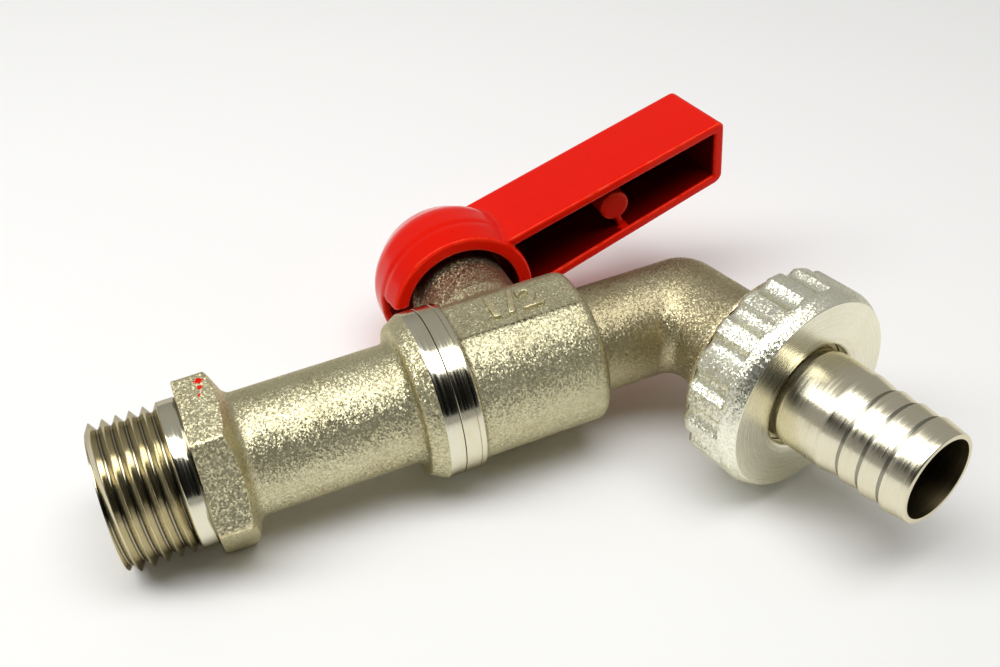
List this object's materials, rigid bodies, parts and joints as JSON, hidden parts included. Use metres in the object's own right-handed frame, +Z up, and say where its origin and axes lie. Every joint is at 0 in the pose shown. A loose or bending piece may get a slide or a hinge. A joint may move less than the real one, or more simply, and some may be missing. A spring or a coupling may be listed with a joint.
{
  "type": "bib tap",
  "caption": "Ball bib tap with a male pipe-thread inlet, a turning lever, a bent spout and a screwed union nut that holds a barbed hose tail.",
  "frame": {"origin": "on the inlet axis where the thread meets the spanner collar", "axes": "+X along the inlet axis in the direction of flow, +Z up the lever's stem, so the inlet thread points along -X"},
  "size_m": [0.107, 0.0339, 0.0787],
  "materials": {
    "plated_brass": "sand-blasted casting with nickel plate, machined bands brighter",
    "turned_brass": "turned and nickel plated",
    "stem_brass": "turned brass",
    "ball_chrome": "polished chrome plate",
    "seat_plastic": "smooth white fluoropolymer",
    "seal_rubber": "matt black rubber",
    "red_paint": "gloss red paint on die-cast metal",
    "zinc_steel": "zinc-plated steel"
  },
  "bodies": {
    "tap_body": {"inlet_shank": "plated_brass", "valve_body": "plated_brass", "seat_inlet": "seat_plastic", "seat_outlet": "seat_plastic"},
    "lever": {"lever": "red_paint", "stem": "stem_brass", "ball": "ball_chrome", "thrust_washer": "seat_plastic", "seal_lower": "seal_rubber", "seal_upper": "seal_rubber", "handle_washer": "zinc_steel", "handle_nut": "zinc_steel"},
    "hose_tail": {"hose_tail": "turned_brass", "union_washer": "seal_rubber"},
    "union_nut": {"union_nut": "plated_brass"}
  },
  "joints": [
    {"name": "lever_turn", "type": "hinge", "parent": "tap_body", "child": "lever", "pos_m": [0.0457, 0, 0], "axis": [0, 0, 1], "range_deg": [-73.5, 16.5]},
    {"name": "tail_slide", "type": "slide", "parent": "tap_body", "child": "hose_tail", "axis": [0.2504, 0, -0.9681], "range_m": [0, 0.0035]},
    {"name": "nut_turn", "type": "hinge", "parent": "hose_tail", "child": "union_nut", "pos_m": [0.0739, 0, 0], "axis": [0.2504, 0, -0.9681], "range_deg": [0, 684]}
  ],
  "couplings": [
    {"joint": "tail_slide", "follows": "nut_turn", "m_per_rad": 0.00028871}
  ]
}
